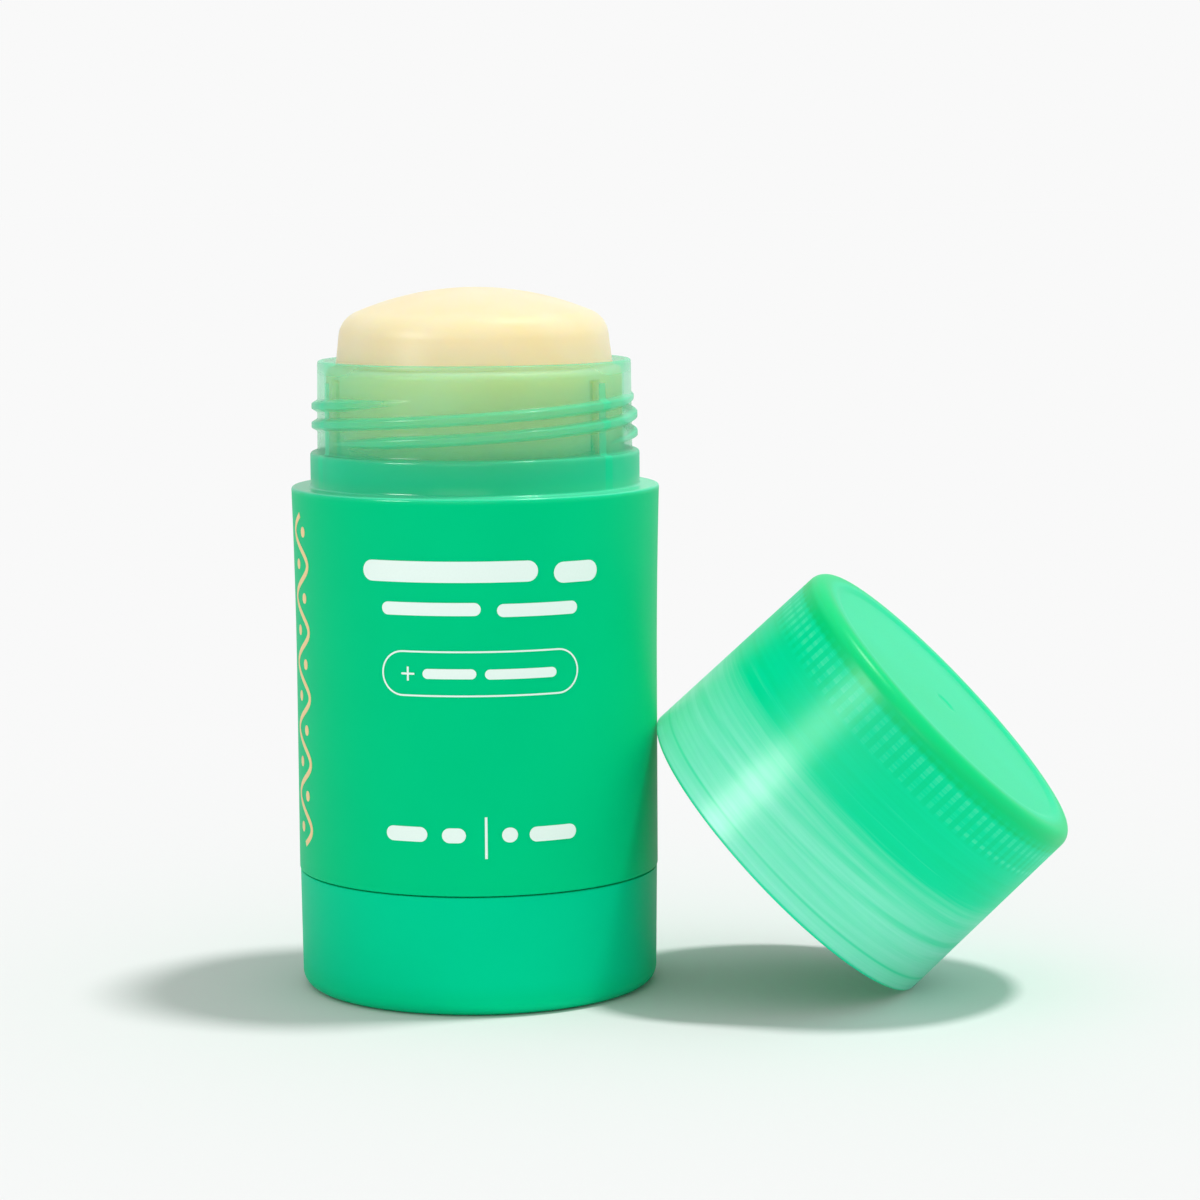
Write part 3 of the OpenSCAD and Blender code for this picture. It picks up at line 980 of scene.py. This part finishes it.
@dataclass
class BaseDial:
    """The turning foot, with its snap spigot and the hub for the lift screw."""

    top_z: float = 12.24
    foot_r: float = 18.505
    top_r: float = 18.625
    fillet: float = 1.6
    recess: float = 0.8
    recess_edge: float = 0.1
    ring: float = 2.4
    wall: float = 1.8
    floor_z: float = 2.8
    spigot_r: float = 15.25
    spigot_z: float = 16.05
    spigot_wall: float = 1.2
    bead_z: float = 14.88
    bead: float = 0.35
    bead_foot_h: float = 0.56
    bead_crest_h: float = 0.14
    hub_r: float = 5.5
    hub_z: float = 8.0
    socket_r: float = 3.25
    socket_z: float = 3.45
    edge: float = 0.12
    floor_depth: float = 0.85
    wall_depth: float = 0.5

    def profile(self) -> Rows:
        """The dial's section, from the centre of its foot to the bottom of its socket.

        Returns:
            Its rows.
        """
        e = self.edge
        recess_r = self.foot_r - self.fillet - self.ring
        ring_r = recess_r + self.recess / 2
        inner_r = self.spigot_r - self.spigot_wall
        cup_r = self.foot_r - self.wall
        step_z = self.top_z - self.wall
        bead_r = self.spigot_r + self.bead
        side = np.linspace(self.fillet + WIDE_HOLD, self.top_z - 2 * WIDE_HOLD, 8)
        slope = (self.top_r - self.foot_r) / (self.top_z - self.fillet)
        return [
            (0, self.recess), (2.0, self.recess), (recess_r - WIDE_HOLD, self.recess),
            (recess_r, self.recess), (ring_r, self.recess_edge), (ring_r + self.recess_edge, 0),
            (self.foot_r - self.fillet - WIDE_HOLD, 0),
            *arc(self.foot_r - self.fillet, self.fillet, self.fillet, -90, 0, 10),
            *[(self.foot_r + slope * (z - self.fillet), z) for z in side],
            *arc(self.top_r - e, self.top_z - e, e, 0, 90, 5),
            (self.top_r - e - HOLD, self.top_z), (self.spigot_r, self.top_z),
            (self.spigot_r, self.bead_z - self.bead_foot_h),
            (bead_r, self.bead_z - self.bead_crest_h), (bead_r, self.bead_z + self.bead_crest_h),
            (self.spigot_r, self.bead_z + self.bead_foot_h),
            (self.spigot_r, self.spigot_z - e), (self.spigot_r - e, self.spigot_z),
            (inner_r, self.spigot_z), (inner_r, step_z), (cup_r, step_z - (cup_r - inner_r)),
            (cup_r, self.floor_z + e), (cup_r - e, self.floor_z), (self.hub_r, self.floor_z),
            (self.hub_r, self.hub_z), (self.socket_r, self.hub_z), (self.socket_r, self.socket_z),
            (0, self.socket_z),
        ]

    def depth(self, at: Spots) -> np.ndarray:
        """Thick where the floor lies behind the wall, and thinner above it."""
        above = smooth((at.height - self.floor_z + 0.35) / 0.7)
        return self.floor_depth - (self.floor_depth - self.wall_depth) * above

    def build(self, finish: MouldedPolypropylene) -> None:
        """Makes the shell that stands for the dial.

        Args:
            finish: how it looks.
        """
        mesh = Lathe().turn(self.profile(), False, None, {"depth": self.depth})
        shell = link_mesh("dial_shell", mesh, finish.build())
        settle(shell, "dial", "dial_plastic", "base_dial")


@dataclass
class SerumStick:
    """The stick of serum with its domed head, cast round the lift screw."""

    foot_z: float = 18.4
    foot_r: float = 14.4
    cup_z: float = 23.05
    side_r: float = 15.25
    side_rows: tuple[float, ...] = (34.0, 46.0, 56.0)
    ledge_z: float = 64.3
    ledge_edge: float = 0.7
    ledge_fillet: float = 0.2
    head_r: float = 14.3
    head_draft: float = 0.4
    top_z: float = 72.4
    dome_r: float = 31.0
    round_r: float = 2.9
    well_r: float = 4.5
    well_z: float = 58.4
    nut_r: float = 6.05
    nut_z: float = 21.05
    ribs: GuideRibs = GuideRibs()
    rib_gap: float = 0.2
    # The cast head is slightly oval, and slightly wavy on top of that.
    oval: float = 0.035
    ripple: float = 0.02

    def profile(self) -> Rows:
        """The stick's section, from the top of its well to the top of its dome.

        Returns:
            Its rows.
        """
        edge_x = self.head_r - self.head_draft - self.round_r
        dome_z = self.top_z - self.dome_r
        edge_z = dome_z + math.sqrt((self.dome_r - self.round_r) ** 2 - edge_x ** 2)
        lean = math.degrees(math.asin(edge_x / (self.dome_r - self.round_r)))
        side = np.linspace(self.ledge_z + 2 * WIDE_HOLD, edge_z - WIDE_HOLD, 6)
        slope = self.head_draft / (edge_z - self.ledge_z)
        ledge, fillet, rib_z = self.ledge_edge, self.ledge_fillet, self.ribs.top_z
        rows = (self.cup_z + WIDE_HOLD, *self.side_rows, rib_z - WIDE_HOLD, rib_z, rib_z + PAST_RIB)
        return [
            (0, self.well_z), (self.well_r - WIDE_HOLD, self.well_z),
            (self.well_r, self.well_z - WIDE_HOLD), (self.well_r, self.nut_z),
            (self.nut_r, self.nut_z), (self.nut_r, self.foot_z), (self.foot_r, self.foot_z),
            (self.foot_r, self.cup_z), (self.side_r, self.cup_z),
            *[(self.side_r, z) for z in rows],
            *arc(self.side_r - ledge, self.ledge_z - ledge, ledge, 0, 90, 6),
            *arc(self.head_r + fillet, self.ledge_z + fillet, fillet, 270, 180, 4),
            *[(self.head_r - slope * (z - self.ledge_z), z) for z in side],
            *arc(edge_x, edge_z, self.round_r, 0, 90 - lean, 14),
            # The dome starts just past the rounded edge and stops just short of the axis.
            *arc(0, dome_z, self.dome_r, 90 - lean * 0.94, 89.4, 18),
            (0, self.top_z),
        ]

    def push(self, at: Spots) -> np.ndarray:
        """Grooves for the guide ribs, and the slight unevenness of a cast head.

        Args:
            at: points on the stick.

        Returns:
            The shift outwards in mm.
        """
        side = np.abs(at.radius - self.side_r) < NEAR
        groove = np.where(side, self.ribs.rise(at, self.side_r, self.rib_gap), 0.0)
        angle = np.radians(at.degrees)
        wave = self.oval * np.sin(2 * angle + 0.6) + self.ripple * np.sin(5 * angle + at.height)
        above = np.clip((at.height - self.ledge_z - 2 * WIDE_HOLD) / 2.0, 0, 1)
        return wave * above * np.clip(at.radius / self.head_r, 0, 1) - groove

    def build(self, finish: CastWax) -> None:
        """Makes the stick that stands for its plain solid.

        Args:
            finish: how it looks.
        """
        mesh = Lathe().turn(self.profile(), False, self.push)
        stick = link_mesh("cast_serum", mesh, finish.build())
        settle(stick, "lift", "serum", "serum_stick")


@dataclass
class Cap:
    """The screw cap, taken off, with its rim on the floor and leaning on the barrel."""

    length: float = 23.3
    mouth_r: float = 19.15
    top_r: float = 18.7
    bore_r: float = 17.08
    fillet: float = 1.5
    inner_fillet: float = 0.6
    top: float = 1.7
    dish: float = 0.25
    relief_h: float = 2.0
    relief: float = 0.75
    relief_edge: float = 0.15
    edge: float = 0.3
    ridged_low_z: float = 3.6
    ridged_top_z: float = 12.0
    # Radius and depth of each row of the mark that the mould's gate left.
    gate: tuple[tuple[float, float], ...] = (
        (1.7, 0.0), (1.3, 0.0), (1.15, 0.03), (1.0, 0.09), (0.85, 0.12), (0.5, 0.12), (0.0, 0.12),
    )
    spline_count: int = 90
    spline_r: float = 0.28
    spline_sides: int = 8
    spline_depth: float = 0.2
    spline_h: float = 4.3
    tilt: float = 44.1
    azimuth: float = -12.4
    bearing: float = -5.7
    lean_gap: float = 0.1
    thread: Thread = Thread(height=0.55, root=1.1, crest=0.4, span=230.0, low_z=4.75)

    @property
    def floor_z(self) -> float:
        """Height of the closed end's inside."""
        return self.length - self.top

    def place(self, barrel: Barrel) -> Matrix:
        """Where the cap lies: from its own frame, mouth down on its origin, to the scene.

        Args:
            barrel: the barrel that it leans on.

        Returns:
            The matrix, in metres.
        """
        tilt, azimuth, bearing = (math.radians(v) for v in (self.tilt, self.azimuth, self.bearing))
        rim_r = self.mouth_r - self.edge
        ahead = Vector((math.cos(azimuth), math.sin(azimuth), 0))
        axis = math.cos(tilt) * ahead + Vector((0, 0, math.sin(tilt)))
        side = Vector((-math.sin(azimuth), math.cos(azimuth), 0))
        rise = Vector((0, 0, math.cos(tilt))) - math.sin(tilt) * ahead
        way = Vector((math.cos(bearing), math.sin(bearing), 0))
        mouth_z = rim_r * math.cos(tilt) + self.edge * (1 - math.sin(tilt))
        reach = 0.0
        # The mouth's upper half is what can touch the barrel.
        for step in range(0, 181, 2):
            t = math.radians(step)
            point = self.edge * axis + rim_r * (math.cos(t) * side + math.sin(t) * rise)
            along = point.dot(way)
            across = point.x * way.y - point.y * way.x
            wall = barrel.wall_r(mouth_z + point.z) + self.lean_gap + self.edge
            if wall > abs(across):
                reach = max(reach, math.sqrt(wall ** 2 - across ** 2) - along)
        centre = Vector((reach * way.x, reach * way.y, mouth_z)) * MM
        turn = Matrix.Rotation(azimuth, 4, "Z") @ Matrix.Rotation(math.pi / 2 - tilt, 4, "Y")
        return Matrix.Translation(centre) @ turn

    def profile(self) -> Rows:
        """The cap's section in its own frame, from the inside of its closed end to the outside.

        Returns:
            Its rows.
        """
        e, fillet, inner, lip = self.edge, self.fillet, self.inner_fillet, self.relief_edge
        bore_r, floor_z, relief_r = self.bore_r, self.floor_z, self.bore_r + self.relief
        dish_r, dish_z = self.top_r - fillet - 1, self.length - self.dish
        slope = (self.top_r - self.mouth_r) / (self.length - fillet - e)
        wall = (*np.arange(e + 0.1, self.ridged_top_z, 0.1),
                *np.arange(self.ridged_top_z + 0.3, self.length - fillet - 0.1, 0.4))
        bore = (floor_z - 2, floor_z - 4, 16.0, 14.0,
                *np.linspace(self.ridged_top_z - HOLD, self.ridged_low_z, 84), self.relief_h + HOLD)
        return [
            (0, floor_z), (4.0, floor_z), (bore_r - 3, floor_z), (bore_r - inner - 0.1, floor_z),
            *arc(bore_r - inner, floor_z - inner, inner, 90, 0, 4),
            *[(bore_r, z) for z in bore],
            *arc(bore_r + lip, self.relief_h + lip, lip, 180, 270, 3),
            (relief_r - lip, self.relief_h), (relief_r, self.relief_h - lip),
            (relief_r, lip), (relief_r + lip, 0),
            *arc(self.mouth_r - e, e, e, -90, 0, 4),
            *[(self.mouth_r + slope * (z - e), z) for z in wall],
            *arc(self.top_r - fillet, self.length - fillet, fillet, 0, 90, 10),
            (dish_r + WIDE_HOLD, self.length), (dish_r, self.length),
            (dish_r - 0.2, self.length - 0.05), (dish_r - 0.6, dish_z + 0.05),
            (dish_r - 0.8, dish_z), (dish_r - 1.1, dish_z), (8.0, dish_z),
            *[(r, dish_z - low) for r, low in self.gate],
        ]

    def push(self, at: Spots) -> np.ndarray:
        """Thread ridges that stand in from the bore."""
        inside = (np.abs(at.radius - self.bore_r) < NEAR) & (at.height < self.ridged_top_z)
        return -np.where(inside, self.thread.rise(at), 0.0)

    def depth(self, at: Spots) -> np.ndarray:
        """How deep the wall's colour is, with what stands inside it showing through, and a painted
        glow that pales the wall about the mouth.

        Args:
            at: points on the cap.

        Returns:
            How far the wall's colour is from thin to thick.
        """
        z = at.height
        mouth, painted_glow_fade, ridge, relief, rim, corner, disc = 0.14, 0.42, 0.2, 0.25, 0.3, 0.6, 0.7
        # Painted light: the wall is drawn pale about the mouth and deepens towards the closed end.
        # This is a painted glow of light coming in at the mouth, not a change in the wall.
        wall = mouth + painted_glow_fade * smooth((z - 5.5) / 9.0)
        wall = wall + ridge * self.thread.rise(at)
        wall = wall + relief * smooth(1 - np.abs(z - self.relief_h) / 0.25)
        wall = wall + rim * smooth((0.45 - z) / 0.3)
        closing = smooth((z - (self.floor_z - 0.9)) / 0.6)
        wall = wall + corner * closing * smooth((at.radius - self.top_r + 2.2) / 0.6)
        on_disc = (z > self.length - 0.6) & (at.radius < self.top_r - 1.6)
        return np.clip(np.where(on_disc, disc, wall), 0, 1)

    def polish(self, at: Spots) -> np.ndarray:
        """Glossy about the mouth, and more satin towards the closed end.

        Args:
            at: points on the cap.

        Returns:
            How strong the polished skin is.
        """
        end = self.length
        heights = [7.0, 13.0, end - self.fillet, end - 0.8, end - 0.3]
        return np.interp(at.height, heights, [0.33, 0.17, 0.17, 0.32, 0.22])

    def splines(self, material: bpy.types.Material) -> bpy.types.Mesh:
        """The fine splines round the inside of the closed end, by Geometry Nodes.

        Args:
            material: their material.

        Returns:
            Their mesh, in the cap's own frame.
        """
        tree = bpy.data.node_groups.new("spline_ring", "GeometryNodeTree")
        face = tree.interface
        face.new_socket("Geometry", in_out="INPUT", socket_type="NodeSocketGeometry")
        face.new_socket("Count", in_out="INPUT", socket_type="NodeSocketInt")
        for name in ("Ring radius", "Spline radius", "Length", "Height"):
            face.new_socket(name, in_out="INPUT", socket_type="NodeSocketFloat")
        face.new_socket("Geometry", in_out="OUTPUT", socket_type="NodeSocketGeometry")
        entry = add_node(tree, "NodeGroupInput").outputs
        circle = add_node(
            tree, "GeometryNodeMeshCircle", None,
            {"Vertices": entry["Count"], "Radius": entry["Ring radius"]},
        )
        bar = add_node(
            tree, "GeometryNodeMeshCylinder", {"Vertices": self.spline_sides},
            {"Radius": entry["Spline radius"], "Depth": entry["Length"]}, fill_type="TRIANGLE_FAN",
        )
        ring = add_node(
            tree, "GeometryNodeInstanceOnPoints", None,
            {"Points": circle.outputs["Mesh"], "Instance": bar.outputs["Mesh"]},
        )
        real = add_node(
            tree, "GeometryNodeRealizeInstances", None, {"Geometry": ring.outputs["Instances"]},
        )
        lift = add_node(tree, "ShaderNodeCombineXYZ", None, {"Z": entry["Height"]})
        moved = add_node(
            tree, "GeometryNodeTransform", None,
            {"Geometry": real.outputs["Geometry"], "Translation": lift.outputs["Vector"]},
        )
        dressed = add_node(
            tree, "GeometryNodeSetMaterial", {"Material": material},
            {"Geometry": moved.outputs["Geometry"]},
        )
        add_node(tree, "NodeGroupOutput", None, {"Geometry": dressed.outputs["Geometry"]})
        return run_tree(tree, {
            "Count": self.spline_count,
            "Ring radius": (self.bore_r + self.spline_r - self.spline_depth) * MM,
            "Spline radius": self.spline_r * MM,
            "Length": self.spline_h * MM,
            "Height": (self.floor_z - self.spline_h / 2) * MM,
        })

    def build(self, finish: MouldedPolypropylene, barrel: Barrel) -> None:
        """Makes the shell and the splines that stand for the cap.

        Args:
            finish: how they look.
            barrel: the barrel that the cap leans on.
        """
        low_z = self.floor_z - self.spline_h
        material = finish.build(behind=SplinesBehind(self.spline_count, low_z, self.floor_z))
        lying = self.place(barrel)
        fields = {"depth": self.depth, "polish": self.polish}
        mesh = Lathe(segments=320).turn(self.profile(), False, self.push, fields)
        mesh.transform(lying)
        shell = link_mesh("cap_shell", mesh, material)
        settle(shell, "barrel", "cap_plastic", "cap")
        ribs = self.splines(material)
        layer = ribs.attributes.new("depth", "FLOAT", "POINT")
        layer.data.foreach_set("value", [0.6] * len(ribs.vertices))
        ribs.transform(lying)
        settle(link_mesh("cap_splines", ribs, material), "barrel", "cap_plastic")


def run_tree(tree: Tree, values: dict[str, Any]) -> bpy.types.Mesh:
    """Runs a Geometry Nodes tree and keeps its result.

    Args:
        tree: the tree, with a value for each of its named inputs.
        values: the inputs' values by name.

    Returns:
        The result as a plain mesh.
    """
    holder = bpy.data.objects.new("holder", bpy.data.meshes.new("holder"))
    bpy.context.scene.collection.objects.link(holder)
    modifier = holder.modifiers.new("tree", "NODES")
    modifier.node_group = tree
    for item in tree.interface.items_tree:
        if item.item_type == "SOCKET" and item.in_out == "INPUT" and item.name in values:
            modifier[item.identifier] = values[item.name]
    graph = bpy.context.evaluated_depsgraph_get()
    mesh = bpy.data.meshes.new_from_object(holder.evaluated_get(graph))
    bpy.data.objects.remove(holder)
    return mesh


class Ink(Enum):
    """The two inks of the print."""

    WHITE = "E8FAF2"
    PEACH = "F6D79A"


@dataclass
class Print:
    """Plain shapes screened on the barrel, in mm round it from the front and up it.

    Where the real stick has words there are only bars, an outline with a plus
    sign, a dividing line and a wave with dots.
    """

    lift: float = 0.012
    film: float = 0.02
    step: float = 0.25
    # Start, end, height and thickness of each white bar.
    bars: tuple[tuple[float, float, float, float], ...] = (
        (-12.0, 6.2, 44.9, 2.1), (7.9, 13.0, 44.6, 2.1),
        (-9.8, 0.4, 41.2, 1.3), (2.0, 10.5, 41.05, 1.3),
        (-5.5, -0.1, 34.75, 1.0), (0.75, 8.1, 34.7, 1.0),
        (-9.6, -5.2, 18.6, 1.5), (-3.7, -1.3, 18.55, 1.5),
        (2.3, 3.9, 18.55, 1.5), (5.1, 10.2, 18.5, 1.5),
    )
    outline_centre: float = 0.35
    outline_z: float = 34.75
    outline_half_w: float = 10.15
    outline_half_h: float = 2.2
    outline_thick: float = 0.17
    plus_s: float = -7.05
    plus_z: float = 34.72
    plus_reach: float = 0.7
    plus_thick: float = 0.2
    divider_s: float = 0.72
    divider_z: tuple[float, ...] = (16.2, 18.3, 20.4)
    divider_thick: float = 0.26
    wave_s: float = -23.4
    wave_low: float = 15.6
    wave_high: float = 49.6
    wave_swing: float = 1.9
    wave_count: int = 5
    wave_thick: float = 0.6
    dot_off: float = 0.85
    dot_r: float = 0.55

    def bar(self, start: float, end: float, height: float, thick: float) -> Marks:
        """A bar with round ends.

        Args:
            start: where it starts round the barrel.
            end: where it ends.
            height: its middle's height.
            thick: its thickness.

        Returns:
            One strip, as pairs of points across it.
        """
        half = thick / 2
        ends = half * (1 - np.cos(np.radians(np.linspace(0, 90, 7))))
        count = max(2, int((end - start - thick) / self.step))
        inner = np.linspace(start + half, end - half, count)
        along = np.concatenate([start + ends[:-1], inner, (end - ends[:-1])[::-1]])
        off = np.minimum(np.minimum(along - start, end - along), half)
        reach = np.maximum(np.sqrt(np.maximum(0, half ** 2 - (half - off) ** 2)), 0.01)
        low, high = (np.stack([along, height + side * reach], -1) for side in (-1, 1))
        return [np.stack([low, high], 1)]

    def stroke(self, path: np.ndarray, thick: float) -> Marks:
        """A line of even thickness along a path.

        Args:
            path: its points.
            thick: its thickness.

        Returns:
            One strip, as pairs of points across it.
        """
        across = self.sideways(np.gradient(path, axis=0), thick)
        return [np.stack([path - across, path + across], 1)]

    def sideways(self, step: np.ndarray, thick: float) -> np.ndarray:
        """Half the thickness, square to each step."""
        across = np.stack([-step[:, 1], step[:, 0]], -1)
        return across * thick / 2 / np.linalg.norm(across, axis=1, keepdims=True)

    def outline(self) -> Marks:
        """The outline with straight sides and half-round ends.

        Returns:
            One closed strip, as pairs of points across it.
        """
        half_h, height = self.outline_half_h, self.outline_z
        flat = self.outline_half_w - half_h
        count = int(2 * flat / self.step)
        turn = np.radians(np.linspace(-90, 90, 25))
        right = np.stack([flat + half_h * np.cos(turn), height + half_h * np.sin(turn)], -1)
        side = np.linspace(flat, -flat, count)[1:-1]
        top = np.stack([side, np.full(count - 2, height + half_h)], -1)
        path = np.concatenate([right, top])
        opposite = np.stack([-path[:, 0], 2 * height - path[:, 1]], -1)
        path = np.concatenate([path, opposite])
        path[:, 0] += self.outline_centre
        across = self.sideways(np.roll(path, -1, 0) - np.roll(path, 1, 0), self.outline_thick)
        ring = np.stack([path - across, path + across], 1)
        return [np.concatenate([ring, ring[:1]])]

    def white(self) -> Marks:
        """The white marks.

        Returns:
            Their strips.
        """
        marks = [strip for row in self.bars for strip in self.bar(*row)] + self.outline()
        s, z, reach, thick = self.plus_s, self.plus_z, self.plus_reach, self.plus_thick
        marks += self.bar(s - reach, s + reach, z, thick)
        for side in (-1, 1):
            ends = sorted((z + side * reach, z + side * thick / 2))
            marks += self.stroke(np.array([[s, end] for end in ends]), thick)
        divider = np.array([[self.divider_s, height] for height in self.divider_z])
        return marks + self.stroke(divider, self.divider_thick)

    def peach(self) -> Marks:
        """A running wave with a dot in each bend, up the left side.

        Returns:
            Their strips.
        """
        low, high, waves = self.wave_low, self.wave_high, self.wave_count
        z = np.linspace(low, high, 160)
        s = self.wave_s + self.wave_swing * np.sin(2 * np.pi * waves * (z - low) / (high - low))
        marks = self.stroke(np.stack([s, z], -1), self.wave_thick)
        for k in range(2 * waves):
            height = low + (high - low) * (k + 0.5) / (2 * waves)
            spot = self.wave_s + (self.dot_off if k % 2 else -self.dot_off)
            # A bar a hair longer than it is thick is a round dot.
            thick = 2 * self.dot_r - 0.001
            marks += self.bar(spot - self.dot_r, spot + self.dot_r, height, thick)
        return marks

    def build(self, ink: Ink, marks: Marks, barrel: Barrel) -> None:
        """Lays one ink's marks on the barrel as a thin film.

        Args:
            ink: which ink it is.
            marks: strips of points across each mark.
            barrel: the barrel that carries them.
        """
        points: list[tuple[float, float, float]] = []
        faces: list[tuple[int, ...]] = []
        for strip in marks:
            start = len(points)
            for s, z in strip.reshape(-1, 2):
                r = barrel.wall_r(z)
                angle = s / r - math.pi / 2
                for out in (self.lift, self.lift + self.film):
                    x, y = (r + out) * math.cos(angle), (r + out) * math.sin(angle)
                    points.append((x * MM, y * MM, z * MM))
            end = start + 4 * (len(strip) - 1)
            for a in range(start, end, 4):
                b = a + 4
                faces += [(a + 1, b + 1, b + 3, a + 3), (a, a + 2, b + 2, b),
                          (a, b, b + 1, a + 1), (a + 2, a + 3, b + 3, b + 2)]
            faces += [(start, start + 1, start + 3, start + 2), (end, end + 2, end + 3, end + 1)]
        mesh = bpy.data.meshes.new(ink.name)
        mesh.from_pydata(points, [], faces)
        name = ink.name.lower()
        piece = link_mesh(f"print_{name}", mesh, ScreenInk(f"{name}_ink", ink.value).build())
        settle(piece, "barrel", "barrel_plastic")


def dress_inner(frame: dict[str, Any]) -> None:
    """Gives the hidden lift screw and elevator their moulded finish.

    Args:
        frame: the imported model's frame, with its node objects.
    """
    looks = {
        "lift_screw": MouldedPolypropylene("screw_polypropylene", "12B078", "0FAC74", "0CA870"),
        "elevator": MouldedPolypropylene(
            "natural_polypropylene", "EDF0EA", "EAEDE6", "E6EAE2", specular=0.3, reflected="FFFFFF",
        ),
    }
    for name, look in looks.items():
        material = look.build()
        for slot in frame["nodes"][name].material_slots:
            slot.material = material
        LOG.info("%s keeps its solid, with %s", name, look.name)


def main() -> None:
    """Builds the studio and every sub-assembly."""
    logging.basicConfig(level=logging.INFO, format="%(name)s: %(message)s")
    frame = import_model()
    Shot().build()
    Studio().build()
    barrel = Barrel()
    barrel.build(
        MouldedPolypropylene("barrel_polypropylene", "4EDCA8", "00D096", "00CA85", polished=True),
    )
    BaseDial().build(MouldedPolypropylene("dial_polypropylene", "00D29C", "00CF96", "00CA8C"))
    SerumStick().build(CastWax())
    Cap().build(
        MouldedPolypropylene(
            "cap_polypropylene", "92F0D4", "00DEA2", "00CE7C", polished=True, skin_roughness=0.3,
            scatter=0.5, scatter_mm=2.0, streak=0.1,
        ),
        barrel,
    )
    marks = Print()
    marks.build(Ink.WHITE, marks.white(), barrel)
    marks.build(Ink.PEACH, marks.peach(), barrel)
    dress_inner(frame)


if __name__ == "__main__":
    main()
